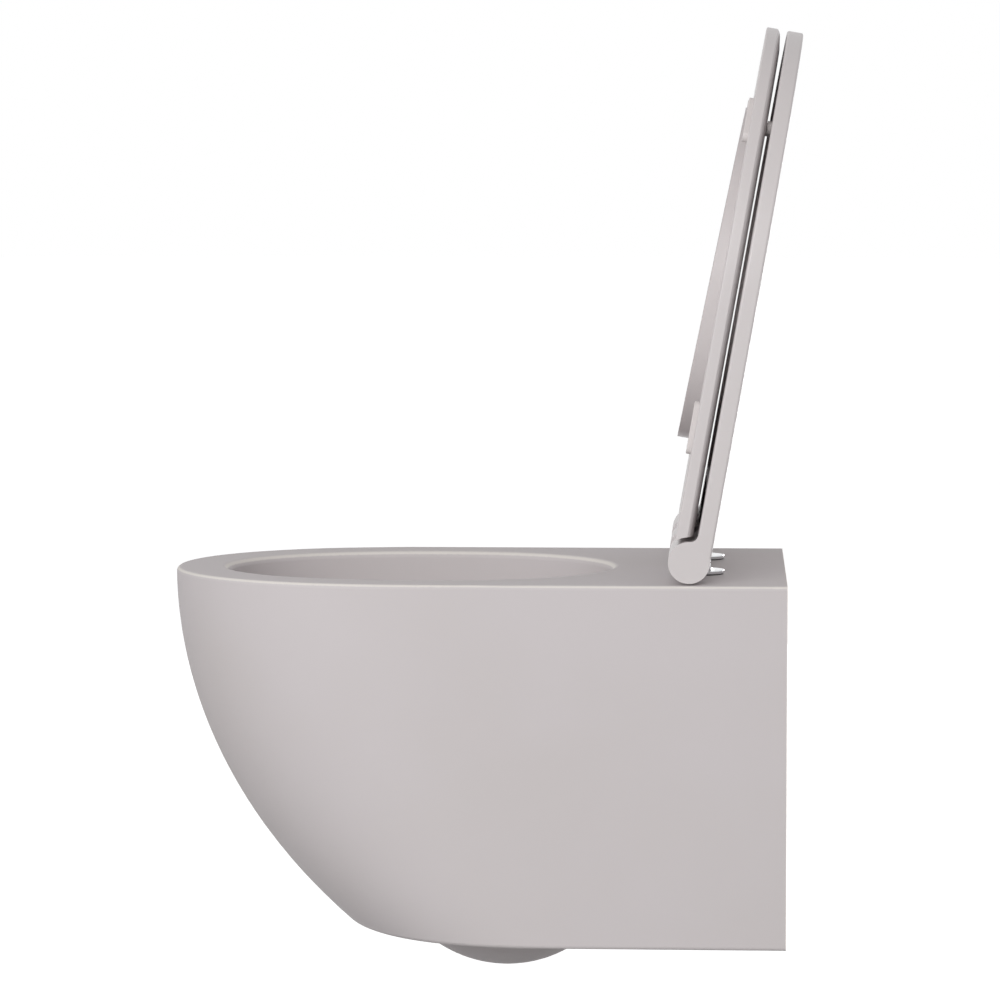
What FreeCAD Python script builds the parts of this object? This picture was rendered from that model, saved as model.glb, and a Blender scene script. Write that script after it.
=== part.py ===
import FreeCAD, Part
import math
import os

from FreeCAD import Vector

# Wall hung toilet: a fully shrouded ceramic pan with a rimless bowl, a slim seat ring and a
# flat lid, both standing raised. Millimetres. The origin lies on the wall face, midway
# between the two wall studs. +X is the right-hand side of someone who faces the wall, -Y
# points to the front of the pan and +Z is up.

# ---- pan: outer form ------------------------------------------------------------------
pan_width = 360.0
pan_length = 530.0            # wall face to the front tip of the deck
pan_height = 306.0            # deck to underside
deck_z = 85.0                 # deck above the wall studs
side_length_top = 300.0       # straight part of the side, at the deck
side_length_bottom = 200.0    # and at the underside
nose_power = 2.43             # fullness of the nose in plan; 2 would be an ellipse
belly_semi_axis = 436.0       # lower semi-axis of the ellipse that draws the front profile
deck_edge_radius = 4.0
foot_edge_radius = 3.0
saw_cut = 5.0                 # length that is trimmed off at the wall face to make it plane

# ---- pan: walls -----------------------------------------------------------------------
skirt_wall = 10.0
deck_wall = 12.0
floor_wall = 9.0
bowl_wall = 9.0
rear_frame_depth = 14.0       # thickened edge that meets the wall
rear_frame_width = 18.0
rear_web_bottom = -42.0       # lower edge of the web that carries studs and inlet
service_opening_width = 240.0 # gap in the underside, for reaching the nuts
service_opening_depth = 120.0
service_corner_radius = 25.0

# ---- bowl -----------------------------------------------------------------------------
rim_width = 45.0              # deck between the outer edge and the bowl, sides and front
bowl_rear = 150.0             # wall face to the rear end of the bowl's mouth
bowl_middle = 300.0           # widest place of the mouth
bowl_rear_power = 2.2
bowl_fall = 1.4               # how long the bowl's wall stays steep before it turns inward
mouth_edge_radius = 6.0

# ---- trapway and outlet ---------------------------------------------------------------
trap_bore = 60.0
trap_wall = 9.0
trap_head = 30.0              # straight length that rises into the bowl
sump_inset = 3.0              # bowl's foot inside the trap's bore, so that they cross
trap_bend_y = -242.0          # centre of the lower bend
trap_bend_z = -157.0
trap_bend_radius = 70.0
weir_bend_radius = 50.0
weir_rise = 7.0               # straight rise between the two bends
outlet_z = -100.0
outlet_diameter = 102.0
outlet_bore = 86.0
outlet_length = 40.0
outlet_setback = 5.0          # end of the outlet behind the wall face
outlet_cone = 22.0

# ---- flush inlet ----------------------------------------------------------------------
inlet_z = 35.0
inlet_mouth = 55.0            # at the wall face
inlet_taper = 1.0             # narrower at the inner end, so that the seal wedges in
inlet_boss = 80.0
inlet_depth = 45.0
flush_slot_width = 84.0
flush_slot_height = 20.0
flush_slot_z = 44.0
flush_slot_wall = 8.0
flush_pipe_bore = 45.0        # bore of the rubber seal, for the wall frame's flush pipe
seal_length = 40.0
seal_setback = 1.0            # seal behind the wall face
seal_lead = 1.5               # chamfer that leads the flush pipe in

# ---- wall fixing ----------------------------------------------------------------------
stud_spacing = 180.0
stud_clearance_bore = 13.0    # for an M12 stud
sleeve_diameter = 19.6
sleeve_clearance = 0.2        # radial, sleeve in ceramic
sleeve_flange = 34.0
sleeve_flange_thickness = 3.0
lug_diameter = 46.0
lug_depth = 32.0
washer_diameter = 30.0
washer_thickness = 2.5
wall_nut_flats = 19.0
wall_nut_height = 10.0

# ---- hinge ----------------------------------------------------------------------------
hinge_y = -82.0
hinge_height = 19.0           # axis above the deck
open_angle = 100.0            # from closed to raised
roll_radius = 17.5            # the lid's round rear edge
block_spacing = 140.0
block_width = 36.0
block_radius = 14.0
block_foot_front = -91.0
block_foot_rear = -64.0
block_foot_height = 6.0
side_gap = 1.0                # between parts side by side on the axis
ear_width = 12.0
ear_radius = 12.0
notch_clearance = 1.5         # lid to block, radially
ring_roll_clearance = 4.0     # ring to the lid's roll
pin_diameter = 8.0
pin_grip = 20.0               # stub pin inside the lid's outer roll
pin_clearance = 0.05          # radial running fit
damper_diameter = 14.0
damper_length = 48.0
damper_shaft_socket = 16.0

# ---- seat fixing through the deck -----------------------------------------------------
fixing_y = -70.5
fixing_hole = 15.0
fixing_bolt = 6.0
fixing_bolt_length = 62.0
gasket_diameter = 34.0
gasket_thickness = 1.0
rosette_diameter = 36.0
rosette_thickness = 3.0
rosette_edge_radius = 0.9
plug_diameter = 14.6
plug_bulge = 21.0
plug_length = 22.0            # below the deck's underside
plug_lip = 5.0                # height of the slopes above and below the bulge
seat_nut_diameter = 22.0
seat_nut_height = 9.0
fit = 0.1                     # radial gap of loose-fitting round parts

# ---- seat ring ------------------------------------------------------------------------
seat_width = 354.0
seat_reach = 452.0            # hinge axis to the front tip of ring and lid
ring_bottom = -14.5           # heights of ring and lid are from the axis, when closed
ring_band_top = -5.3
ring_crown = -0.4
ring_opening_width = 224.0
ring_opening_front = 373.0    # from the axis
ring_opening_rear = 99.0
ring_opening_middle = 218.0
ring_funnel = 12.0            # widening of the opening towards the crown
ring_funnel_start = 8.0       # where it begins, below the top of the side band
lip_thickness = 8.0
lip_drop_front = 5.5          # below the ring's underside
lip_drop_rear = 13.5
edge_radius = 1.5
bumper_gap = 0.2              # left over the deck when closed

# ---- bumpers --------------------------------------------------------------------------
bumper_length = 45.0
bumper_width = 11.0
front_bumper_x = 100.0
front_bumper_distance = 370.0
front_bumper_turn = 38.0
rear_bumper_x = 150.0
rear_bumper_distance = 110.0
rear_bumper_turn = 0.0
peg_diameter = 5.0
peg_length = 5.0
lid_bumper_diameter = 12.0
lid_bumper_x = 118.0
lid_bumper_distance = 366.0

# ---- lid ------------------------------------------------------------------------------
lid_inner = 3.5
lid_edge_radius = 2.0
lid_neck_radius = 6.0
lid_rim = 17.0                # solid edge round the recess of the lid's inner face
lid_recess = 6.0
lid_recess_rear = 60.0        # from the axis

# ---- worked out -----------------------------------------------------------------------
half_width = pan_width / 2
floor_z = deck_z - pan_height
axis_z = deck_z + hinge_height
stud_x = stud_spacing / 2
block_x = block_spacing / 2
block_inner = block_x - block_width / 2
block_outer = block_x + block_width / 2
ear_outer = block_inner - side_gap
ear_inner = ear_outer - ear_width
roll_inner_end = ear_inner - side_gap
roll_outer_start = block_outer + side_gap
notch_radius = block_radius + notch_clearance
lid_outer = roll_radius
inlet_throat = inlet_mouth - inlet_taper
ring_rear_radius = roll_radius + ring_roll_clearance
rosette_bottom = deck_z + gasket_thickness
rosette_top = rosette_bottom + rosette_thickness
deck_underside = deck_z - deck_wall
trap_outer = trap_bore / 2 + trap_wall
sump_y = trap_bend_y - trap_bend_radius
rise_y = trap_bend_y + trap_bend_radius
AXIS_X = Vector(1, 0, 0)
AXIS_Y = Vector(0, 1, 0)
AXIS_Z = Vector(0, 0, 1)
SIDES = {"left": -1, "right": 1}
HUGE = 2000.0


# ---- shared shapes --------------------------------------------------------------------
def box(x0, x1, y0, y1, z0, z1):
    return Part.makeBox(x1 - x0, y1 - y0, z1 - z0, Vector(x0, y0, z0))


def rod(radius, start, direction, length):
    return Part.makeCylinder(radius, length, start, direction)


def x_rod(radius, x0, x1, y=hinge_y, z=axis_z):
    """A cylinder along X between two places, either way round."""
    return rod(radius, Vector(min(x0, x1), y, z), AXIS_X, abs(x1 - x0))


def spline(points, start=None, end=None):
    curve = Part.BSplineCurve()
    if start is None:
        curve.interpolate(Points=points, PeriodicFlag=True)
    else:
        curve.interpolate(Points=points, InitialTangent=start, FinalTangent=end)
    return curve.toShape()


def nose_points(half, side, reach, z, steps=7):
    """The nose in plan: a superellipse from one straight side round to the other."""
    quarter = []
    for i in range(1, steps + 1):
        run = math.sin(i / steps * math.pi / 2)
        x = half * math.sqrt(max(0.0, 1 - run ** nose_power))
        quarter.append((x, -(side + (reach - side) * run)))
    right = [Vector(half, -side, z)]
    right += [Vector(x, y, z) for x, y in quarter]
    left = [Vector(-p.x, p.y, z) for p in reversed(right[:-1])]
    return right + left


def d_outline(half, side, reach, z, rear=0.0):
    """A closed outline: flat at the rear, straight sides and a rounded nose."""
    nose = nose_points(half, side, reach, z)
    tangent = Vector(0, -1, 0)
    back_right = Vector(half, rear, z)
    back_left = Vector(-half, rear, z)
    return Part.Wire([
        Part.makeLine(back_left, back_right),
        Part.makeLine(back_right, nose[0]),
        spline(nose, tangent, -tangent),
        Part.makeLine(nose[-1], back_left),
    ])


def oval_outline(half, middle, front, rear, z, steps=5):
    """A closed egg: fuller towards the front, rounder towards the rear."""
    points = []
    for i in range(4 * steps):
        turn = i / (4 * steps) * 2 * math.pi
        along = math.cos(turn)
        span = front - middle if along > 0 else middle - rear
        power = nose_power if along > 0 else bowl_rear_power
        x = half * math.copysign(abs(math.sin(turn)), math.sin(turn))
        run = (1 - (x / half) ** 2) ** (1 / power)
        points.append(Vector(x, -(middle + math.copysign(span * run, along)), z))
    return Part.Wire([spline(points)])


def prism(outline, height):
    return Part.Face(outline).extrude(Vector(0, 0, height))


def profile_along_x(edges, x0, x1):
    """A profile drawn in the YZ plane at X = 0, made solid from x0 to x1."""
    face = Part.Face(Part.Wire(edges))
    face.translate(Vector(x0, 0, 0))
    return face.extrude(Vector(x1 - x0, 0, 0))


def raised(shape):
    """Turns a shape drawn in the closed pose up to the raised one."""
    turned = shape.copy()
    turned.rotate(Vector(0, hinge_y, axis_z), AXIS_X, -open_angle)
    return turned


def cross_section(x, y, z):
    """A point of the YZ plane given from the hinge axis, in the closed pose."""
    return Vector(x, hinge_y + y, axis_z + z)


# ---- ceramic pan ----------------------------------------------------------------------
def front_reach(depth):
    return pan_length * math.sqrt(1 - (depth / belly_semi_axis) ** 2)


def front_slope(depth):
    return pan_length * depth / belly_semi_axis ** 2 / math.sqrt(1 - (depth / belly_semi_axis) ** 2)


def side_length(depth):
    """The straight side gets shorter as the front profile draws back."""
    drawn_back = (pan_length - front_reach(depth)) / (pan_length - front_reach(pan_height))
    return side_length_top + (side_length_bottom - side_length_top) * drawn_back


def skirt_section(inset, depth, rear):
    """The pan's outline at a depth below the deck, drawn in by a wall or an edge."""
    wall = inset * math.sqrt(1 + front_slope(depth) ** 2)
    reach = front_reach(depth) - wall
    return d_outline(half_width - inset, side_length(depth), reach, deck_z - depth, rear)


def skirt_loft(inset, top, bottom, rear, levels=6):
    """The pan's outer form, or the hollow in it when inset is its wall."""
    sections = []
    for i in range(levels):
        depth = top + (bottom - top) * math.sin(i / (levels - 1) * math.pi / 2)
        sections.append(skirt_section(inset, depth, rear))
    return Part.makeLoft(sections, True, False)


def rounded_edge(radius, depth, towards, steps=3):
    """The band that rounds the skirt off, up to the deck (-1) or down to the foot (1)."""
    sections = []
    for i in range(steps + 1):
        turn = i / steps * math.pi / 2
        inset = radius * (1 - math.cos(turn))
        sections.append(skirt_section(inset, depth + towards * radius * math.sin(turn), saw_cut))
    return Part.makeLoft(sections, True, False)


def bowl_solid(wall, top):
    """The bowl's space, or with its wall round it, from the mouth down to the sump."""
    levels = 8
    depth = deck_z - trap_bend_z
    sump_radius = trap_bore / 2 - sump_inset
    sections = []
    for i in range(levels):
        part = i / (levels - 1)
        keep = (1 + math.cos(math.pi * part ** bowl_fall)) / 2
        half = sump_radius + (half_width - rim_width - sump_radius) * keep
        sump_front = -sump_y + sump_radius
        sump_rear = -sump_y - sump_radius
        front = sump_front + (pan_length - rim_width - sump_front) * keep
        rear = sump_rear + (bowl_rear - sump_rear) * keep
        middle = -sump_y + (bowl_middle + sump_y) * keep
        sections.append(oval_outline(half + wall, middle, front + wall, rear - wall,
                                     deck_z - depth * part))
    bowl = Part.makeLoft(sections, True, False)
    if top > deck_z:
        bowl = bowl.fuse(prism(sections[0], top - deck_z))
    return bowl


def trap_path():
    """Sump, round the lower bend, up over the weir and level out to the wall."""
    bend = Vector(0, trap_bend_y, trap_bend_z)
    down = [Vector(0, sump_y, trap_bend_z + trap_head), Vector(0, sump_y, trap_bend_z)]
    bottom = bend - Vector(0, 0, trap_bend_radius)
    rise = [Vector(0, rise_y, trap_bend_z), Vector(0, rise_y, trap_bend_z + weir_rise)]
    weir = Vector(0, rise_y + weir_bend_radius, outlet_z - weir_bend_radius)
    half_turn = weir_bend_radius * math.sqrt(0.5)
    crest = weir + Vector(0, -half_turn, half_turn)
    level = weir + Vector(0, 0, weir_bend_radius)
    end = Vector(0, -outlet_setback - outlet_length, outlet_z)
    return Part.Wire([
        Part.makeLine(*down),
        Part.Arc(down[1], bottom, rise[0]).toShape(),
        Part.makeLine(*rise),
        Part.Arc(rise[1], crest, level).toShape(),
        Part.makeLine(level, end),
    ])


def trap_pipe(radius):
    path = trap_path()
    start = path.Vertexes[0].Point
    ring = Part.Wire([Part.makeCircle(radius, start, Vector(0, 0, -1))])
    return path.makePipeShell([ring], True, False)


def outlet_solid(pipe_radius, end_radius, extra):
    """The spigot that the drain pipe slips over, with the cone that joins it to the trap."""
    end = -outlet_setback + extra
    neck = -outlet_setback - outlet_length
    points = [
        Vector(0, end, outlet_z),
        Vector(0, end, outlet_z + end_radius),
        Vector(0, neck, outlet_z + end_radius),
        Vector(0, neck - outlet_cone, outlet_z + pipe_radius),
        Vector(0, neck - outlet_cone, outlet_z),
    ]
    face = Part.Face(Part.makePolygon(points + points[:1]))
    return face.revolve(Vector(0, 0, outlet_z), AXIS_Y, 360)


def duct_outline(shoulder, flat, half, crown, y, z):
    """Joined by an arc at each side; above and below it is level, or arched up to crown."""
    centre = Vector(0, y, z)

    def across(x0, x1, level, middle):
        start = centre + Vector(x0, 0, level)
        end = centre + Vector(x1, 0, level)
        if crown == flat:
            return Part.makeLine(start, end)
        return Part.Arc(start, centre + Vector(0, 0, middle), end).toShape()

    def around(side, z0, z1):
        return Part.Arc(centre + Vector(side * shoulder, 0, z0), centre + Vector(side * half, 0, 0),
                        centre + Vector(side * shoulder, 0, z1)).toShape()

    return Part.Wire([across(-shoulder, shoulder, flat, crown), around(1, flat, -flat),
                      across(shoulder, -shoulder, -flat, -crown), around(-1, -flat, flat)])


def flush_duct(wall, rear, front):
    """From the round inlet to the flat slot behind the bowl."""
    radius = inlet_throat / 2 + wall
    flat = flush_slot_height / 2 + wall
    straight = (flush_slot_width - flush_slot_height) / 2
    inlet = duct_outline(radius / 2, radius * math.sqrt(0.75), radius, radius, rear, inlet_z)
    slot = duct_outline(straight, flat, straight + flat, flat, front, flush_slot_z)
    return Part.makeLoft([inlet, slot], True, True)


def inlet_socket(extra):
    """The slightly conical hole that the flush pipe's seal sits in."""
    slope = inlet_taper / 2 / inlet_depth
    return Part.makeCone(inlet_throat / 2, inlet_mouth / 2 + slope * extra, inlet_depth + extra,
                         Vector(0, -inlet_depth, inlet_z), AXIS_Y)


def rear_structure():
    """What the open back of the pan holds: edge frame, web, stud lugs and inlet boss."""
    frame = box(-half_width + 1, half_width - 1, -rear_frame_depth, 0, floor_z + 1, deck_underside + 1)
    window_top = rear_web_bottom
    window = box(-half_width + rear_frame_width, half_width - rear_frame_width,
                 -rear_frame_depth - 1, 1, floor_z - 1, window_top)
    solids = [frame.cut(window)]
    for side in SIDES.values():
        lug = rod(lug_diameter / 2, Vector(side * stud_x, -lug_depth, 0), AXIS_Y, lug_depth)
        solids.append(lug)
    solids.append(rod(inlet_boss / 2, Vector(0, -inlet_depth, inlet_z), AXIS_Y, inlet_depth))
    return solids


def service_opening():
    """The gap in the underside through which the wall nuts are reached."""
    half = service_opening_width / 2
    gap = box(-half, half, -service_opening_depth, 50, floor_z - 50, floor_z + floor_wall + 1)
    corners = [e for e in gap.Edges if abs(e.BoundBox.YMax + service_opening_depth) < 0.01
               and e.BoundBox.ZLength > 10]
    return gap.makeFillet(service_corner_radius, corners)


def ceramic_pan():
    skirt_top = deck_edge_radius
    skirt_bottom = pan_height - foot_edge_radius
    outer = skirt_loft(0, skirt_top, skirt_bottom, saw_cut).fuse([
        rounded_edge(deck_edge_radius, skirt_top, -1), rounded_edge(foot_edge_radius, skirt_bottom, 1)])
    outer = outer.cut(box(-HUGE, HUGE, 0, HUGE, -HUGE, HUGE))
    hollow = skirt_loft(skirt_wall, deck_wall, pan_height - floor_wall, 20)
    shell = outer.cut(hollow)
    inner_bowl = bowl_solid(0, deck_z + 20)
    outer_bowl = bowl_solid(bowl_wall, deck_z).common(
        box(-HUGE, HUGE, -HUGE, HUGE, -HUGE, deck_underside + 1))
    solids = [outer_bowl, trap_pipe(trap_outer), outlet_solid(trap_outer, outlet_diameter / 2, 0),
              flush_duct(flush_slot_wall, -inlet_depth, -bowl_rear + bowl_wall)]
    body = shell.fuse(solids + rear_structure())
    passages = [inner_bowl, trap_pipe(trap_bore / 2),
                outlet_solid(trap_bore / 2, outlet_bore / 2, 1),
                inlet_socket(1),
                flush_duct(0, -inlet_depth, -bowl_rear - 12)]
    body = body.cut(passages)
    holes = [service_opening()]
    for side in SIDES.values():
        stud = rod(sleeve_diameter / 2 + sleeve_clearance,
                   Vector(side * stud_x, -lug_depth - 1, 0), AXIS_Y, lug_depth + 2)
        seat = rod(fixing_hole / 2, Vector(side * block_x, fixing_y, deck_underside - 5), AXIS_Z, 40)
        holes += [stud, seat]
    body = body.cut(holes)
    mouth = [e for e in body.Edges if e.BoundBox.ZMin > deck_z - 0.01 and e.Closed
             and e.BoundBox.YMax < -bowl_rear + 1 and e.BoundBox.XLength > rim_width]
    return body.makeFillet(mouth_edge_radius, mouth)


# ---- wall fixing ----------------------------------------------------------------------
def wall_sleeve(side):
    """A nylon sleeve with a collar that keeps the stud and nut off the ceramic."""
    x = side * stud_x
    flange_face = -lug_depth - sleeve_flange_thickness
    body = rod(sleeve_diameter / 2, Vector(x, -lug_depth, 0), AXIS_Y, lug_depth)
    flange = rod(sleeve_flange / 2, Vector(x, flange_face, 0), AXIS_Y, sleeve_flange_thickness)
    bore = rod(stud_clearance_bore / 2, Vector(x, flange_face - 1, 0), AXIS_Y, lug_depth + 10)
    return body.fuse(flange).cut(bore)


def wall_washer(side):
    start = Vector(side * stud_x, -lug_depth - sleeve_flange_thickness - washer_thickness, 0)
    disc = rod(washer_diameter / 2, start, AXIS_Y, washer_thickness)
    return disc.cut(rod(stud_clearance_bore / 2, start, AXIS_Y, washer_thickness))


def hexagon(flats, start, direction, height):
    radius = flats / math.sqrt(3)
    across = Vector(0, 0, 1) if abs(direction.z) < 0.5 else Vector(1, 0, 0)
    other = direction.cross(across)
    corners = []
    for i in range(6):
        turn = math.radians(60 * i)
        corners.append(start + across * (radius * math.cos(turn)) + other * (radius * math.sin(turn)))
    return Part.Face(Part.makePolygon(corners + corners[:1])).extrude(direction * height)


def wall_nut(side):
    face = -lug_depth - sleeve_flange_thickness - washer_thickness
    start = Vector(side * stud_x, face - wall_nut_height, 0)
    nut = hexagon(wall_nut_flats, start, AXIS_Y, wall_nut_height)
    chamfer = Part.makeCone(wall_nut_flats / 2 * 1.02, wall_nut_flats, wall_nut_height * 1.6, start, AXIS_Y)
    bore = rod(stud_clearance_bore / 2 - 0.6, start, AXIS_Y, wall_nut_height)
    return nut.common(chamfer).cut(bore)


def inlet_seal():
    """The rubber seal in the flush inlet, which the wall frame's flush pipe slides into."""
    slope = inlet_taper / 2 / inlet_depth
    mouth = inlet_mouth / 2 - slope * seal_setback - fit
    throat = mouth - slope * seal_length
    bore = flush_pipe_bore / 2
    front = -seal_setback - seal_length
    points = [
        Vector(0, -seal_setback, inlet_z + bore + seal_lead),
        Vector(0, -seal_setback, inlet_z + mouth),
        Vector(0, front, inlet_z + throat),
        Vector(0, front, inlet_z + bore),
        Vector(0, -seal_setback - seal_lead, inlet_z + bore),
    ]
    face = Part.Face(Part.makePolygon(points + points[:1]))
    return face.revolve(Vector(0, 0, inlet_z), AXIS_Y, 360)


# ---- hinge and seat fixing ------------------------------------------------------------
def ring_disc(outer, inner, x, y, z, height):
    disc = rod(outer / 2, Vector(x, y, z), AXIS_Z, height)
    return disc.cut(rod(inner / 2, Vector(x, y, z), AXIS_Z, height))


def base_gasket(side):
    return ring_disc(gasket_diameter, fixing_bolt + 2 * fit, side * block_x, fixing_y, deck_z,
                     gasket_thickness)


def hinge_base(side):
    """The round foot plate that is seen behind the lid's roll."""
    plate = ring_disc(rosette_diameter, fixing_bolt + 2 * fit, side * block_x, fixing_y,
                      rosette_bottom, rosette_thickness)
    rim = [e for e in plate.Edges if abs(e.BoundBox.ZMin - rosette_top) < 0.01
           and e.BoundBox.XLength > rosette_diameter / 2]
    return plate.makeFillet(rosette_edge_radius, rim)


def hinge_block(side):
    """The post that stands on the plate and holds the pivots."""
    top = cross_section(0, block_radius * math.cos(math.radians(70)),
                        block_radius * math.sin(math.radians(70)))
    rear = cross_section(0, block_radius, 0)
    front = cross_section(0, -block_radius, 0)
    foot_front = Vector(0, block_foot_front, rosette_top)
    foot_rear = Vector(0, block_foot_rear, rosette_top)
    foot_rear_top = Vector(0, block_foot_rear, rosette_top + block_foot_height)
    foot_front_top = Vector(0, block_foot_front, rosette_top + block_foot_height)
    edges = [
        Part.Arc(rear, top, front).toShape(),
        Part.makeLine(front, foot_front_top),
        Part.makeLine(foot_front_top, foot_front),
        Part.makeLine(foot_front, foot_rear),
        Part.makeLine(foot_rear, foot_rear_top),
        Part.makeLine(foot_rear_top, rear),
    ]
    x0 = side * block_x - block_width / 2
    block = profile_along_x(edges, x0, x0 + block_width)
    pivot = x_rod(pin_diameter / 2 + pin_clearance, x0 - 1, x0 + block_width + 1)
    socket = rod(fixing_bolt / 2 + fit, Vector(side * block_x, fixing_y, rosette_top), AXIS_Z,
                 block_socket_depth())
    return block.cut([pivot, socket])


def block_socket_depth():
    return hinge_height - gasket_thickness - rosette_thickness - pin_diameter / 2 - 2


def hinge_pin(side):
    """The outer pivot, from the block into the lid's outer roll."""
    return x_rod(pin_diameter / 2, side * (block_x + 1), side * (roll_outer_start + pin_grip))


def damper_shaft(side):
    return x_rod(pin_diameter / 2, side * (ear_outer - damper_shaft_socket), side * (block_x - 1))


def damper(side):
    """The oil-filled cartridge that slows the fall; its body turns with ring or lid."""
    end = ear_outer
    start = end - damper_length
    body = x_rod(damper_diameter / 2, side * start, side * end)
    bore = x_rod(pin_diameter / 2 + pin_clearance, side * (end - damper_shaft_socket - 1), side * (end + 1))
    return body.cut(bore)


def seat_bolt(side):
    top = rosette_top + block_socket_depth() - 1
    start = Vector(side * block_x, fixing_y, top - fixing_bolt_length)
    return rod(fixing_bolt / 2, start, AXIS_Z, fixing_bolt_length)


def expansion_plug(side):
    """The rubber plug that swells under the deck when the nut is drawn up."""
    bore = fixing_bolt / 2 + fit
    neck = plug_diameter / 2
    bulge = plug_bulge / 2
    top = deck_z - 0.5
    shoulder = deck_underside - 0.3
    bottom = deck_underside - plug_length
    x = side * block_x
    points = [
        Vector(x + bore, fixing_y, bottom),
        Vector(x + neck, fixing_y, bottom),
        Vector(x + bulge, fixing_y, bottom + plug_lip),
        Vector(x + bulge, fixing_y, shoulder - plug_lip),
        Vector(x + neck, fixing_y, shoulder),
        Vector(x + neck, fixing_y, top),
        Vector(x + bore, fixing_y, top),
    ]
    face = Part.Face(Part.makePolygon(points + points[:1]))
    return face.revolve(Vector(x, fixing_y, 0), AXIS_Z, 360)


def seat_nut(side):
    """A round nut with two wings, turned by hand from below."""
    top = deck_underside - plug_length
    x = side * block_x
    body = Part.makeCone(fixing_bolt / 2 + 3, fixing_bolt / 2 + 5, seat_nut_height,
                         Vector(x, fixing_y, top - seat_nut_height), AXIS_Z)
    wing = box(x - seat_nut_diameter / 2, x + seat_nut_diameter / 2, fixing_y - 1.5, fixing_y + 1.5,
               top - seat_nut_height - 4, top - 2)
    bore = rod(fixing_bolt / 2 + fit, Vector(x, fixing_y, top - seat_nut_height - 5), AXIS_Z, 30)
    return body.fuse(wing).cut(bore)


# ---- seat ring ------------------------------------------------------------------------
def seat_outline(inset, z):
    return d_outline(seat_width / 2 - inset, side_length_top, seat_reach - hinge_y - inset, z, hinge_y)


def ring_opening(inset, z):
    """The opening in the ring, made larger by inset."""
    return oval_outline(ring_opening_width / 2 + inset, ring_opening_middle - hinge_y,
                        ring_opening_front - hinge_y + inset, ring_opening_rear - hinge_y - inset, z)


def ring_dome():
    """Straight side band with a crowned top that fades to level."""
    bottom = axis_z + ring_bottom
    band = axis_z + ring_band_top
    rise = ring_crown - ring_band_top
    slab = prism(seat_outline(0, bottom), band - bottom)
    steps = 4
    spread = 24.0
    crown = []
    for i in range(steps + 1):
        turn = i / steps * math.pi / 2
        crown.append(seat_outline(spread * (1 - math.cos(turn)), band + rise * math.sin(turn)))
    level = box(-HUGE, HUGE, -HUGE, HUGE, -HUGE, axis_z + ring_crown)
    return slab.fuse(Part.makeLoft(crown, True, False).common(level))


def ring_lip():
    """The skirt round the opening that hangs into the bowl, deeper at the rear."""
    bottom = axis_z + ring_bottom
    lowest = bottom - lip_drop_rear
    collar = prism(ring_opening(lip_thickness, lowest - 5), bottom + 2 - lowest + 5)
    front = hinge_y - ring_opening_front - lip_thickness
    rear = hinge_y - ring_opening_rear + lip_thickness
    corners = [
        Vector(0, front - 20, bottom - lip_drop_front + 20 * lip_slope()),
        Vector(0, rear + 20, bottom - lip_drop_rear - 20 * lip_slope()),
        Vector(0, rear + 20, lowest - 60),
        Vector(0, front - 20, lowest - 60),
    ]
    below = [Part.makeLine(a, b) for a, b in zip(corners, corners[1:] + corners[:1])]
    return collar.cut(profile_along_x(below, -HUGE, HUGE))


def lip_slope():
    length = ring_opening_front - ring_opening_rear + 2 * lip_thickness
    return (lip_drop_rear - lip_drop_front) / length


def opening_funnel():
    """The cuts through ring and lip, opening out smoothly towards the crown."""
    straight_top = axis_z + ring_band_top - ring_funnel_start
    top = axis_z + ring_crown
    lowest = axis_z + ring_bottom - 60
    steps = 4
    funnel = []
    for i in range(steps + 1):
        turn = i / steps * math.pi / 2
        level = straight_top + (top - straight_top) * math.sin(turn)
        funnel.append(ring_opening(ring_funnel * (1 - math.cos(turn)), level))
    straight = prism(ring_opening(0, lowest), straight_top + 1 - lowest)
    cap = prism(ring_opening(ring_funnel, top - 0.02), 20)
    return [straight, Part.makeLoft(funnel, True, False), cap]


def bumper_places():
    """Front and rear pads of the ring: name, X, distance from the axis, turn."""
    return {
        "front": (front_bumper_x, front_bumper_distance, front_bumper_turn),
        "rear": (rear_bumper_x, rear_bumper_distance, rear_bumper_turn),
    }


def ring_bumpers(name):
    """A pair of rubber pads with pegs, pressed into the ring's underside."""
    x, distance, turn = bumper_places()[name]
    thickness = ring_bottom + hinge_height - bumper_gap
    bottom = axis_z + ring_bottom - thickness
    pads = []
    for side in SIDES.values():
        radius = bumper_width / 2
        run = bumper_length / 2 - radius
        pad = box(-radius, radius, -run, run, 0, thickness)
        for end in (-run, run):
            pad = pad.fuse(rod(radius, Vector(0, end, 0), AXIS_Z, thickness))
        pad = pad.removeSplitter()
        rim = [e for e in pad.Edges if e.BoundBox.ZMax < 0.01]
        pad = pad.makeFillet(1.0, rim)
        for end in (-run, run):
            pad = pad.fuse(rod(peg_diameter / 2, Vector(0, end, thickness), AXIS_Z, peg_length))
        pad.rotate(Vector(0, 0, 0), AXIS_Z, -side * turn)
        pad.translate(Vector(side * x, hinge_y - distance, bottom))
        pads.append(pad)
    return Part.makeCompound(pads)


def peg_holes():
    holes = []
    for x, distance, turn in bumper_places().values():
        run = bumper_length / 2 - bumper_width / 2
        for side in SIDES.values():
            for end in (-run, run):
                hole = rod(peg_diameter / 2 + fit, Vector(0, end, -1), AXIS_Z, peg_length + 1.5)
                hole.rotate(Vector(0, 0, 0), AXIS_Z, -side * turn)
                hole.translate(Vector(side * x, hinge_y - distance, axis_z + ring_bottom))
                holes.append(hole)
    return holes


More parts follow.
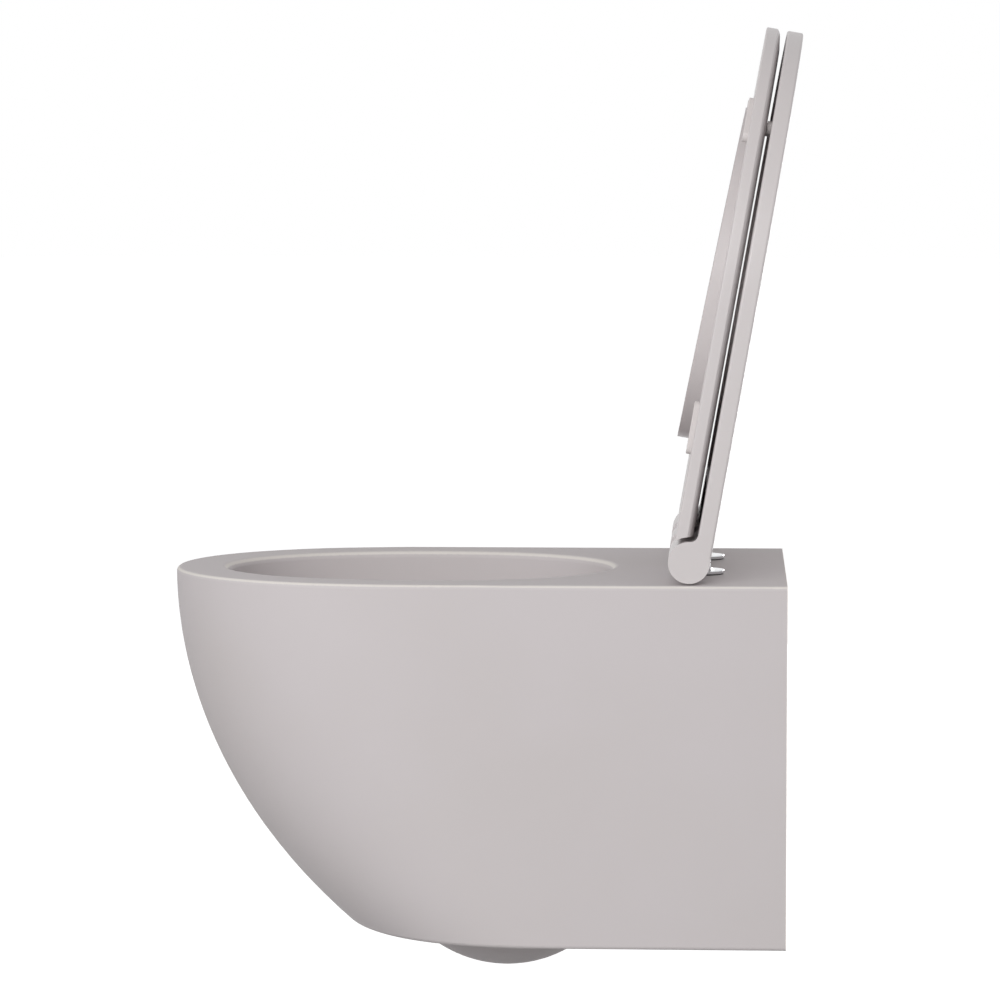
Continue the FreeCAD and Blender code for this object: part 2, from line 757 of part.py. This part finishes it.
def seat_ring():
    body = ring_dome()
    sharp = [e for e in body.Edges if e.BoundBox.ZMax < axis_z + ring_bottom + 0.01
             and e.BoundBox.YMin < hinge_y - 1]
    body = body.makeFillet(edge_radius, sharp)
    body = body.fuse(ring_lip()).cut(opening_funnel())
    body = body.cut(x_rod(ring_rear_radius, -HUGE, HUGE))
    body = body.cut(box(-HUGE, HUGE, hinge_y, HUGE, -HUGE, HUGE))
    ears = []
    for side in SIDES.values():
        x0, x1 = sorted((side * ear_inner, side * ear_outer))
        web = box(x0, x1, hinge_y - ring_rear_radius - 4, hinge_y,
                  axis_z - ear_radius, axis_z + ring_crown - 0.5)
        ears += [x_rod(ear_radius, x0, x1), web]
    body = body.fuse(ears)
    bore = damper_diameter / 2 + pin_clearance
    body = body.cut([x_rod(bore, -ear_outer - 1, -ear_inner + 1), x_rod(bore, ear_inner - 1, ear_outer + 1)])
    return body.cut(peg_holes())


# ---- lid ------------------------------------------------------------------------------
def lid_neck():
    """The hollow curve that leads from the lid's inner face into its roll."""
    height = lid_inner - lid_neck_radius
    away = -math.sqrt((roll_radius + lid_neck_radius) ** 2 - height ** 2)
    share = roll_radius / (roll_radius + lid_neck_radius)
    on_face = cross_section(0, away, lid_inner)
    on_roll = cross_section(0, away * share, height * share)
    centre = cross_section(0, away, height)
    between = (on_face + on_roll) / 2 - centre
    middle = centre + between * (lid_neck_radius / between.Length)
    top = (lid_inner + lid_outer) / 2
    edges = [
        Part.Arc(on_face, middle, on_roll).toShape(),
        Part.makeLine(on_roll, cross_section(0, 0, 0)),
        Part.makeLine(cross_section(0, 0, 0), cross_section(0, 0, top)),
        Part.makeLine(cross_section(0, 0, top), cross_section(0, away, top)),
        Part.makeLine(cross_section(0, away, top), on_face),
    ]
    return profile_along_x(edges, -seat_width / 2, seat_width / 2)


def lid_notch(side):
    """Room in the roll for the hinge block and the ring's ear."""
    x0, x1 = sorted((side * roll_inner_end, side * roll_outer_start))
    behind = box(x0, x1, hinge_y, hinge_y + 60, axis_z - 60, axis_z + 60)
    below = box(x0, x1, hinge_y - 40, hinge_y + 60, axis_z - 60, axis_z + lid_inner)
    return [behind, below, x_rod(notch_radius, x0, x1)]


def lid_bumper_spots():
    return [Vector(side * lid_bumper_x, hinge_y - lid_bumper_distance, axis_z + lid_inner)
            for side in SIDES.values()]


def lid_bumpers():
    """Two small rubber buttons on the lid's inner face, with pegs."""
    height = lid_inner - ring_crown - bumper_gap
    buttons = []
    for spot in lid_bumper_spots():
        button = rod(lid_bumper_diameter / 2, spot - AXIS_Z * height, AXIS_Z, height)
        rim = [e for e in button.Edges if e.BoundBox.ZMax < spot.z - height + 0.01]
        button = button.makeFillet(0.8, rim)
        buttons.append(button.fuse(rod(peg_diameter / 2, spot, AXIS_Z, peg_length)))
    return Part.makeCompound(buttons)


def seat_lid():
    thickness = lid_outer - lid_inner
    plate = prism(seat_outline(0, axis_z + lid_inner), thickness)
    for z in (axis_z + lid_inner, axis_z + lid_outer):
        rim = [e for e in plate.Edges if abs(e.BoundBox.ZMin - z) < 0.01 and abs(e.BoundBox.ZMax - z) < 0.01
               and e.BoundBox.YMin < hinge_y - 1]
        plate = plate.makeFillet(lid_edge_radius, rim)
    roll = x_rod(roll_radius, -seat_width / 2, seat_width / 2)
    recess_half = seat_width / 2 - lid_rim
    recess = prism(d_outline(recess_half, side_length_top, seat_reach - hinge_y - lid_rim,
                             axis_z + lid_inner - 5, hinge_y - lid_recess_rear), lid_recess + 5)
    body = plate.fuse([roll, lid_neck()]).cut(recess)
    for spot in lid_bumper_spots():
        body = body.fuse(rod(lid_bumper_diameter / 2 + 3, spot, AXIS_Z, lid_recess + 1))
        body = body.cut(rod(peg_diameter / 2 + fit, spot, AXIS_Z, peg_length + 0.5))
    for side in SIDES.values():
        body = body.cut(lid_notch(side))
        inner_end = ear_outer - damper_length - 1
        cartridge = x_rod(damper_diameter / 2 + pin_clearance, side * inner_end, side * (roll_inner_end + 1))
        stub = x_rod(pin_diameter / 2 + pin_clearance, side * (roll_outer_start - 1),
                     side * (roll_outer_start + pin_grip + 1))
        body = body.cut([cartridge, stub])
    return body


# ---- write the parts ------------------------------------------------------------------
def as_solids(shape):
    """One clean solid, or a compound of them where a part is a group."""
    solids = [s.removeSplitter() if s.ShapeType == "Solid" else s for s in shape.Solids]
    return solids[0] if len(solids) == 1 else Part.makeCompound(solids)


parts = {
    "ceramic_pan": ceramic_pan(),
    "seat_ring": raised(seat_ring()),
    "seat_lid": raised(seat_lid()),
    "ring_bumpers_front": raised(ring_bumpers("front")),
    "ring_bumpers_rear": raised(ring_bumpers("rear")),
    "lid_bumpers": raised(lid_bumpers()),
    "seat_damper": raised(damper(SIDES["left"])),
    "lid_damper": raised(damper(SIDES["right"])),
    "seat_damper_shaft": damper_shaft(SIDES["left"]),
    "lid_damper_shaft": damper_shaft(SIDES["right"]),
    "inlet_seal": inlet_seal(),
}
paired = {
    "wall_sleeve": wall_sleeve,
    "wall_washer": wall_washer,
    "wall_nut": wall_nut,
    "base_gasket": base_gasket,
    "hinge_base": hinge_base,
    "hinge_block": hinge_block,
    "hinge_pin": hinge_pin,
    "seat_bolt": seat_bolt,
    "expansion_plug": expansion_plug,
    "seat_nut": seat_nut,
}
for piece, make in paired.items():
    for name, side in SIDES.items():
        parts[piece + "_" + name] = make(side)

os.makedirs("parts", exist_ok=True)
for name, shape in parts.items():
    solid = as_solids(shape)
    print(name, len(solid.Solids), solid.isValid(), round(solid.Volume / 1000, 2))
    solid.exportStep("parts/" + name + ".step")
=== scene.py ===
import math

import bmesh
import bpy
from mathutils import Matrix, Vector


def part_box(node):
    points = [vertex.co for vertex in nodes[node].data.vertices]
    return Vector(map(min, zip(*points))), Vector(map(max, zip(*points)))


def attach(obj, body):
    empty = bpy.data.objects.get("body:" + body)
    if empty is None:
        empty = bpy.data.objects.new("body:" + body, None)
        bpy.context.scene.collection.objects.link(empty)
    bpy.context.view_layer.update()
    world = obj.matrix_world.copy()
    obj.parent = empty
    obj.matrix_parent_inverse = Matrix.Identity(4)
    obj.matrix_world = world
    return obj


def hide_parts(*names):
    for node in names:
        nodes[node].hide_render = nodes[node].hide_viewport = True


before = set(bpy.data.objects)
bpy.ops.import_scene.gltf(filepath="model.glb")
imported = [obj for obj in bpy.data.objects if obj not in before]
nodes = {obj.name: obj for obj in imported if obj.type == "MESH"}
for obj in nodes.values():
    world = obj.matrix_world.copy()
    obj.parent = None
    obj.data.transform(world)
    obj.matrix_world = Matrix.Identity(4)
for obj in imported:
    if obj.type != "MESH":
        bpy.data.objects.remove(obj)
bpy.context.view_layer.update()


# ---- ceramic pan ----------------------------------------------------------------------
# The pan is one casting of vitreous china with a sprayed matt glaze, fired at about 1200
# degrees. The rounded rims near the deck carry a painted highlight, a paler line that stands
# in for light caught on them, and the edge that meets the wall is ground flat and stays bare.
MM = 0.001
DECK = 85 * MM                  # the deck's height above the wall studs
GLAZE = "#C8C2C3"
GLAZE_DEEPER = "#C6C0C0"        # the other end of the slow drift in its tone
PAINTED_RIM_HIGHLIGHT = "#DDD8D3"       # painted highlight on the rounded rims
BARE_CHINA = "#E4DDD7"
BELT_MARKS = "#D7CFC8"          # left on the bare china by the grinding belt
CHINA_IOR = 1.5
GLAZE_ROUGHNESS = 0.6
GLAZE_GLOSS = 0.1               # a matt glaze mirrors much less than a bright one
GROUND_ROUGHNESS = 0.95
GROUND_DEPTH = 0.4 * MM         # how far the ground face reaches round its edges
GRIND_SIZE = 1.2 * MM           # the belt's grit, drawn coarser than it is
CLOUD_SIZE = 160 * MM           # slow drift of the glaze's tone
CLOUD_EDGES = (0.35, 0.65)      # where in the noise the tone begins and ends its change
PEEL_SIZE = 4 * MM              # orange peel left by spraying
PEEL_HEIGHT = 0.02 * MM
PINHOLE_SIZE = 0.8 * MM         # fine grain of a matt glaze, drawn coarser than it is
PINHOLE_SHARE = 0.12            # its height beside the orange peel
RIM_DEPTH = 5 * MM              # only rims this near to the deck get the painted highlight
RIM_SLOPE = math.sqrt(0.5)      # upward part of the normal halfway round a rim
RIM_START = 0.28                # the painted highlight begins this far from that slope
RIM_FULL = 0.1                  # and is at its palest this near to it


def linear(hex_colour):
    """An sRGB hex colour as the linear RGBA that a shader socket takes."""
    channels = [int(hex_colour[i:i + 2], 16) / 255 for i in (1, 3, 5)]
    return (*[c / 12.92 if c <= 0.04045 else ((c + 0.055) / 1.055) ** 2.4 for c in channels], 1.0)


def add_node(tree, kind, inputs, **settings):
    """Adds one shader node. Each input is a plain value or another node's output."""
    made = tree.nodes.new("ShaderNode" + kind)
    for name, value in settings.items():
        setattr(made, name, value)
    for key, value in inputs.items():
        if isinstance(value, bpy.types.NodeSocket):
            tree.links.new(value, made.inputs[key])
        else:
            made.inputs[key].default_value = value
    return made


def new_material(name):
    """A new material, its emptied node tree and the object coordinates that patterns read."""
    material = bpy.data.materials.new(name)
    material.use_nodes = True
    tree = material.node_tree
    tree.nodes.clear()
    place = add_node(tree, "TexCoord", {}).outputs["Object"]
    return material, tree, place


def finish_material(tree, shader):
    """Makes a shader the surface of its material."""
    add_node(tree, "OutputMaterial", {"Surface": shader.outputs[0]})


def dress(node_names, material):
    """Gives CAD nodes a material in place of the one that they came with."""
    for name in node_names:
        mesh = nodes[name].data
        mesh.materials.clear()
        mesh.materials.append(material)


def matt_glazed_china():
    """An even, soft warm grey that hardly mirrors, with a painted highlight along the rims near the deck.
    """
    material, tree, place = new_material("matt_glazed_vitreous_china")
    split = add_node(tree, "SeparateXYZ", {"Vector": place})

    cloud = add_node(tree, "TexNoise", {"Vector": place, "Scale": 1 / CLOUD_SIZE, "Detail": 2.0})
    tone = add_node(tree, "ValToRGB", {"Fac": cloud.outputs["Fac"]})
    for stop, edge, glaze in zip(tone.color_ramp.elements, CLOUD_EDGES, (GLAZE_DEEPER, GLAZE)):
        stop.position = edge
        stop.color = linear(glaze)

    # painted highlight: rounded rims near the deck are coloured paler, standing in for light caught on
    # them
    facing = add_node(tree, "NewGeometry", {}).outputs["Normal"]
    slope = add_node(tree, "SeparateXYZ", {"Vector": facing}).outputs["Z"]
    turned = add_node(tree, "Math", {0: slope, 1: RIM_SLOPE}, operation="SUBTRACT")
    away = add_node(tree, "Math", {0: turned.outputs[0]}, operation="ABSOLUTE")
    rounded = add_node(tree, "MapRange", {"Value": away.outputs[0],
                                          "From Min": RIM_START, "From Max": RIM_FULL})
    high = add_node(tree, "Math", {0: split.outputs["Z"], 1: DECK - RIM_DEPTH}, operation="GREATER_THAN")
    rim = add_node(tree, "Math", {0: rounded.outputs[0], 1: high.outputs[0]}, operation="MULTIPLY")
    # mixes the painted rim highlight into the glaze's drifting tone
    glazed = add_node(tree, "Mix", {"Factor": rim.outputs[0], 6: tone.outputs["Color"],
                                    7: linear(PAINTED_RIM_HIGHLIGHT)}, data_type="RGBA")

    belt = add_node(tree, "TexNoise", {"Vector": place, "Scale": 1 / GRIND_SIZE, "Detail": 2.0})
    bare = add_node(tree, "Mix", {"Factor": belt.outputs["Fac"], 6: linear(BARE_CHINA),
                                  7: linear(BELT_MARKS)}, data_type="RGBA")
    ground = add_node(tree, "Math", {0: split.outputs["Y"], 1: -GROUND_DEPTH}, operation="GREATER_THAN")
    colour = add_node(tree, "Mix", {"Factor": ground.outputs[0], 6: glazed.outputs[2],
                                    7: bare.outputs[2]}, data_type="RGBA")
    rough = add_node(tree, "Math", {0: ground.outputs[0], 1: GROUND_ROUGHNESS - GLAZE_ROUGHNESS,
                                    2: GLAZE_ROUGHNESS}, operation="MULTIPLY_ADD")

    peel = add_node(tree, "TexNoise", {"Vector": place, "Scale": 1 / PEEL_SIZE, "Detail": 1.0})
    pinholes = add_node(tree, "TexNoise", {"Vector": place, "Scale": 1 / PINHOLE_SIZE, "Detail": 0.0})
    relief = add_node(tree, "Math", {0: pinholes.outputs["Fac"], 1: PINHOLE_SHARE,
                                     2: peel.outputs["Fac"]}, operation="MULTIPLY_ADD")
    bump = add_node(tree, "Bump", {"Height": relief.outputs[0], "Strength": 1.0, "Distance": PEEL_HEIGHT})
    shader = add_node(tree, "BsdfPrincipled", {"Base Color": colour.outputs[2],
                                               "Roughness": rough.outputs[0], "IOR": CHINA_IOR,
                                               "Specular IOR Level": GLAZE_GLOSS,
                                               "Normal": bump.outputs["Normal"]})
    finish_material(tree, shader)
    return material


dress(["ceramic_pan"], matt_glazed_china())


# ---- flush inlet seal -----------------------------------------------------------------
# A ring moulded from black rubber and pushed into the conical flush inlet at the back of
# the pan. The wall frame's flush pipe slides into its bore.


def patchy_finish(name, colour, patch_size, patch_detail, roughness, **sockets):
    """A material of one colour whose gloss changes a little from patch to patch."""
    material, tree, place = new_material(name)
    patches = add_node(tree, "TexNoise", {"Vector": place, "Scale": 1 / patch_size,
                                          "Detail": patch_detail})
    smoothest, roughest = roughness
    rough = add_node(tree, "MapRange", {"Value": patches.outputs["Fac"],
                                        "To Min": smoothest, "To Max": roughest})
    shader = add_node(tree, "BsdfPrincipled", {"Base Color": linear(colour),
                                               "Roughness": rough.outputs[0], **sockets})
    finish_material(tree, shader)
    return material


# Nearly black and dull to the eye, a little duller in the soft patches where wax has bloomed.
black_rubber = patchy_finish(
    "black_moulded_rubber",
    colour="#1E1D1D",
    patch_size=3 * MM,
    patch_detail=3.0,
    roughness=(0.55, 0.8),
    IOR=1.5,
)

dress(["inlet_seal"], black_rubber)


# ---- wall fixing ----------------------------------------------------------------------
# The pan hangs on two M12 studs of the wall frame. On each, a moulded nylon sleeve keeps
# the steel off the china, and a turned steel washer and nut clamp the pan to the wall.
SIDES = ("left", "right")


def both_sides(*pieces):
    """The node names of pieces that stand on the left and again on the right."""
    return [f"{piece}_{side}" for piece in pieces for side in SIDES]


# Milky and smooth, with a soft sheen that changes along the flow marks of the moulding.
natural_nylon = patchy_finish(
    "moulded_natural_nylon",
    colour="#E3DED8",
    patch_size=4 * MM,
    patch_detail=2.0,
    roughness=(0.38, 0.5),
    IOR=1.53,
)

# Light grey metal, its brightness broken up by tool marks, which are drawn coarser than
# the real ones.
turned_steel = patchy_finish(
    "turned_stainless_steel",
    colour="#B9B8B4",
    patch_size=0.8 * MM,
    patch_detail=2.0,
    roughness=(0.25, 0.4),
    Metallic=1.0,
)

dress(both_sides("wall_sleeve"), natural_nylon)
dress(both_sides("wall_washer", "wall_nut"), turned_steel)


# ---- seat fixing ----------------------------------------------------------------------
# Under each foot plate lies a black rubber gasket, and a rubber plug fills the hole through
# the deck. A nylon wing nut, turned by hand from below, squeezes the plug until it grips.
dress(both_sides("base_gasket", "expansion_plug"), black_rubber)
dress(both_sides("seat_nut"), natural_nylon)


# ---- seat studs -----------------------------------------------------------------------
# A fully threaded M6 stud of stainless steel holds each foot plate, its thread rolled
# between dies. It starts in the hinge post and runs down through the plug to the wing nut.
THREAD_PITCH = 1.0 * MM
THREAD_DEPTH = 0.61 * MM
THREAD_FLAT = 0.125             # crest and root, each as a share of the pitch
THREAD_STEPS = 12               # round one turn
THREAD_SPARE = 2                # turns past each end, which are cut off
WELD = 0.001 * MM               # points nearer than this become one


def thread(low, high):
    """A closed threaded rod that fills the box between two corners."""
    centre = (low + high) / 2
    radius = (high.x - low.x) / 2
    root = radius - THREAD_DEPTH
    half_flat = THREAD_FLAT / 2
    outline = [(root, 0), (root, THREAD_FLAT), (radius, 0.5 - half_flat), (radius, 0.5 + half_flat),
               (root, 1)]
    start = low.z - THREAD_SPARE * THREAD_PITCH
    turns = math.ceil((high.z - low.z) / THREAD_PITCH) + 2 * THREAD_SPARE

    made = bmesh.new()
    points = [made.verts.new((centre.x + out, centre.y, start + share * THREAD_PITCH))
              for out, share in outline]
    edges = [made.edges.new(pair) for pair in zip(points, points[1:])]
    bmesh.ops.spin(made, geom=points + edges, cent=centre, axis=(0, 0, 1), angle=2 * math.pi * turns,
                   dvec=(0, 0, THREAD_PITCH / THREAD_STEPS), steps=THREAD_STEPS * turns)
    bmesh.ops.remove_doubles(made, verts=made.verts, dist=WELD)
    for end, outwards in ((low.z, -1), (high.z, 1)):
        cut = bmesh.ops.bisect_plane(made, geom=made.verts[:] + made.edges[:] + made.faces[:],
                                     plane_co=(0, 0, end), plane_no=(0, 0, outwards), clear_outer=True)
        rim = [item for item in cut["geom_cut"] if isinstance(item, bmesh.types.BMEdge)]
        bmesh.ops.edgenet_fill(made, edges=rim)
    bmesh.ops.recalc_face_normals(made, faces=made.faces)

    mesh = bpy.data.meshes.new("stud")
    made.to_mesh(mesh)
    made.free()
    mesh.materials.append(turned_steel)
    return mesh


def add_object(name, data):
    """Shows a mesh, a lamp or a camera in the scene."""
    made = bpy.data.objects.new(name, data)
    bpy.context.scene.collection.objects.link(made)
    return made


stud_corners = {side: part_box("seat_bolt_" + side) for side in SIDES}
left_stud = thread(*stud_corners["left"])
for side in SIDES:
    mesh = left_stud.copy()
    mesh.transform(Matrix.Translation(stud_corners[side][0] - stud_corners["left"][0]))
    stud = add_object("seat_stud_" + side, mesh)
    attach(stud, "pan")
    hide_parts("seat_bolt_" + side)


# ---- hinge ----------------------------------------------------------------------------
# Two round foot plates carry the posts that the seat turns on, all die-cast in zinc,
# polished and chromium plated. A turned steel pin leads from each post into the lid's roll.

# A bright mirror to the eye, with the faintest haze where it has been wiped.
polished_chrome = patchy_finish(
    "polished_chromium_plate",
    colour="#D9DADC",
    patch_size=8 * MM,
    patch_detail=3.0,
    roughness=(0.05, 0.12),
    Metallic=1.0,
)

dress(both_sides("hinge_base", "hinge_block"), polished_chrome)
dress(both_sides("hinge_pin"), turned_steel)


# ---- dampers --------------------------------------------------------------------------
# Two oil-filled cartridges with moulded acetal bodies slow the fall of the ring and the
# lid. Each body turns with its ring or lid, about a steel shaft that stays still.

# Almost black, smooth and slightly waxy to the eye.
dark_acetal = patchy_finish(
    "moulded_dark_acetal",
    colour="#35363A",
    patch_size=4 * MM,
    patch_detail=2.0,
    roughness=(0.3, 0.42),
    IOR=1.48,
)

dress(["seat_damper", "lid_damper"], dark_acetal)
dress(["seat_damper_shaft", "lid_damper_shaft"], turned_steel)


# ---- seat ring and lid ----------------------------------------------------------------
# Ring and lid are pressed from urea duroplast in heated steel tools, which leaves a dense
# satin surface in the pan's colour. The ring hangs inside the lid, on the same hinge line.
DUROPLAST = "#C5BFBF"
DUROPLAST_IOR = 1.54
DUROPLAST_ROUGHNESS = 0.36
ROUGHNESS_DRIFT = 0.03          # up and down from patch to patch
TOOL_GRAIN_SIZE = 1.6 * MM      # faint texture of the press tool, drawn coarser than it is
TOOL_GRAIN_HEIGHT = 0.004 * MM


def satin_duroplast():
    """The pan's warm grey once more, but denser and with a soft, even sheen."""
    material, tree, place = new_material("satin_urea_duroplast")
    grain = add_node(tree, "TexNoise", {"Vector": place, "Scale": 1 / TOOL_GRAIN_SIZE, "Detail": 2.0})
    rough = add_node(tree, "MapRange", {"Value": grain.outputs["Fac"],
                                        "To Min": DUROPLAST_ROUGHNESS - ROUGHNESS_DRIFT,
                                        "To Max": DUROPLAST_ROUGHNESS + ROUGHNESS_DRIFT})
    bump = add_node(tree, "Bump", {"Height": grain.outputs["Fac"], "Strength": 1.0,
                                   "Distance": TOOL_GRAIN_HEIGHT})
    shader = add_node(tree, "BsdfPrincipled", {"Base Color": linear(DUROPLAST),
                                               "Roughness": rough.outputs[0], "IOR": DUROPLAST_IOR,
                                               "Normal": bump.outputs["Normal"]})
    finish_material(tree, shader)
    return material


dress(["seat_ring", "seat_lid"], satin_duroplast())


# ---- bumpers --------------------------------------------------------------------------
# Four pads under the ring and two buttons inside the lid keep the hard parts from knocking.
# They are moulded from pale soft rubber, and their pegs are pressed into ring and lid.

# Soft and milky to the eye, close to the seat's own grey.
pale_rubber = patchy_finish(
    "pale_moulded_rubber",
    colour="#CFC9C8",
    patch_size=6 * MM,
    patch_detail=3.0,
    roughness=(0.5, 0.7),
    IOR=1.5,
)

dress(["ring_bumpers_front", "ring_bumpers_rear", "lid_bumpers"], pale_rubber)


# ---- studio floor ---------------------------------------------------------------------
# A plain matt floor, as far below the deck as in a bathroom. It is white to the camera and
# holds the object's shadow, and to the object it is a quiet grey, so that the underside
# stays in shade.
WHITE = "#FFFFFF"
FLOOR_DROP = 460 * MM           # from the deck down to the floor
FLOOR_SIZE = 60.0               # metres each way
FLOOR_BOUNCE = "#B4B4B4"        # what the floor throws back at the object
FLOOR_SEEN = "#F4F4F4"
FLOOR_GLOW = 0.57               # lifts the floor that is seen to white


def seen_by_eye(tree):
    """1 for rays that show the background: straight to the camera, in metal and through glass."""
    path = add_node(tree, "LightPath", {})
    seen = path.outputs["Is Camera Ray"]
    for kind in ("Is Glossy Ray", "Is Transmission Ray"):
        seen = add_node(tree, "Math", {0: seen, 1: path.outputs[kind]}, operation="MAXIMUM").outputs[0]
    return seen


def white_floor():
    """Matt white without gloss, on which only the soft shadow shows."""
    material, tree = new_material("white_studio_floor")[:2]
    seen = seen_by_eye(tree)
    colour = add_node(tree, "Mix", {"Factor": seen, 6: linear(FLOOR_BOUNCE), 7: linear(FLOOR_SEEN)},
                      data_type="RGBA")
    diffuse = add_node(tree, "BsdfDiffuse", {"Color": colour.outputs[2]})
    level = add_node(tree, "Math", {0: seen, 1: FLOOR_GLOW}, operation="MULTIPLY")
    glow = add_node(tree, "Emission", {"Color": linear(WHITE), "Strength": level.outputs[0]})
    both = add_node(tree, "AddShader", {0: diffuse.outputs[0], 1: glow.outputs[0]})
    finish_material(tree, both)
    return material


floor_mesh = bpy.data.meshes.new("studio_floor")
floor_shape = bmesh.new()
bmesh.ops.create_grid(floor_shape, x_segments=1, y_segments=1, size=FLOOR_SIZE / 2,
                      matrix=Matrix.Translation((0, 0, DECK - FLOOR_DROP)))
floor_shape.to_mesh(floor_mesh)
floor_shape.free()
floor_mesh.materials.append(white_floor())
floor = add_object("studio_floor", floor_mesh)


# ---- studio light ---------------------------------------------------------------------
# Soft light from all round: bright walls and a dimmer ceiling, a broad lamp on the camera's
# side, and a low lamp on the far side that keeps the back of the pan readable.
HORIZON_LEVEL = 0.92            # brightness of the walls, where 1 is white
CEILING_LEVEL = 0.30
VIEW_AIM = Vector((0.0, -0.248, 0.142))     # the lamps and the camera point here
LAMPS = {                       # place and size in metres, power in watts
    "key_light": ((3.1, -1.2, 1.15), (2.4, 1.4), 63.0),
    "rear_light": ((-2.9, 1.3, 0.05), (2.6, 0.8), 44.0),
}

studio = bpy.data.worlds.new("studio")
studio.use_nodes = True
room = studio.node_tree
room.nodes.clear()
direction = add_node(room, "TexCoord", {}).outputs["Generated"]
height = add_node(room, "SeparateXYZ", {"Vector": direction}).outputs["Z"]
walls = add_node(room, "MapRange", {"Value": height, "To Min": HORIZON_LEVEL, "To Max": CEILING_LEVEL})
level = add_node(room, "Math", {0: walls.outputs[0], 1: seen_by_eye(room)}, operation="MAXIMUM")
sky = add_node(room, "Background", {"Color": linear(WHITE), "Strength": level.outputs[0]})
add_node(room, "OutputWorld", {"Surface": sky.outputs[0]})
bpy.context.scene.world = studio

for name, (place, size, power) in LAMPS.items():
    lamp = bpy.data.lights.new(name, "AREA")
    lamp.shape = "RECTANGLE"
    lamp.size, lamp.size_y = size
    lamp.energy = power
    light = add_object(name, lamp)
    light.location = place
    light.rotation_euler = (VIEW_AIM - light.location).to_track_quat("-Z", "Y").to_euler()


# ---- camera ---------------------------------------------------------------------------
# The photograph's view: a long lens, turned a little behind the square view of the pan's
# side and standing a little above the deck.
VIEW_TURN = math.radians(2.88)
VIEW_RISE = math.radians(4.49)
VIEW_DISTANCE = 3.89
PHOTO_SCALE = 1.1476            # pixels per millimetre at the aim
PHOTO_WIDTH = 1000              # pixels
SENSOR = 36.0                   # millimetres

camera_data = bpy.data.cameras.new("camera")
camera_data.sensor_width = SENSOR
camera_data.lens = PHOTO_SCALE * VIEW_DISTANCE / MM / PHOTO_WIDTH * SENSOR
camera = add_object("camera", camera_data)
towards = Vector((math.cos(VIEW_RISE) * math.cos(VIEW_TURN),
                  math.cos(VIEW_RISE) * math.sin(VIEW_TURN),
                  math.sin(VIEW_RISE)))
camera.location = VIEW_AIM + towards * VIEW_DISTANCE
camera.rotation_euler = (-towards).to_track_quat("-Z", "Y").to_euler()
bpy.context.scene.camera = camera
bpy.context.scene.view_settings.view_transform = "Standard"
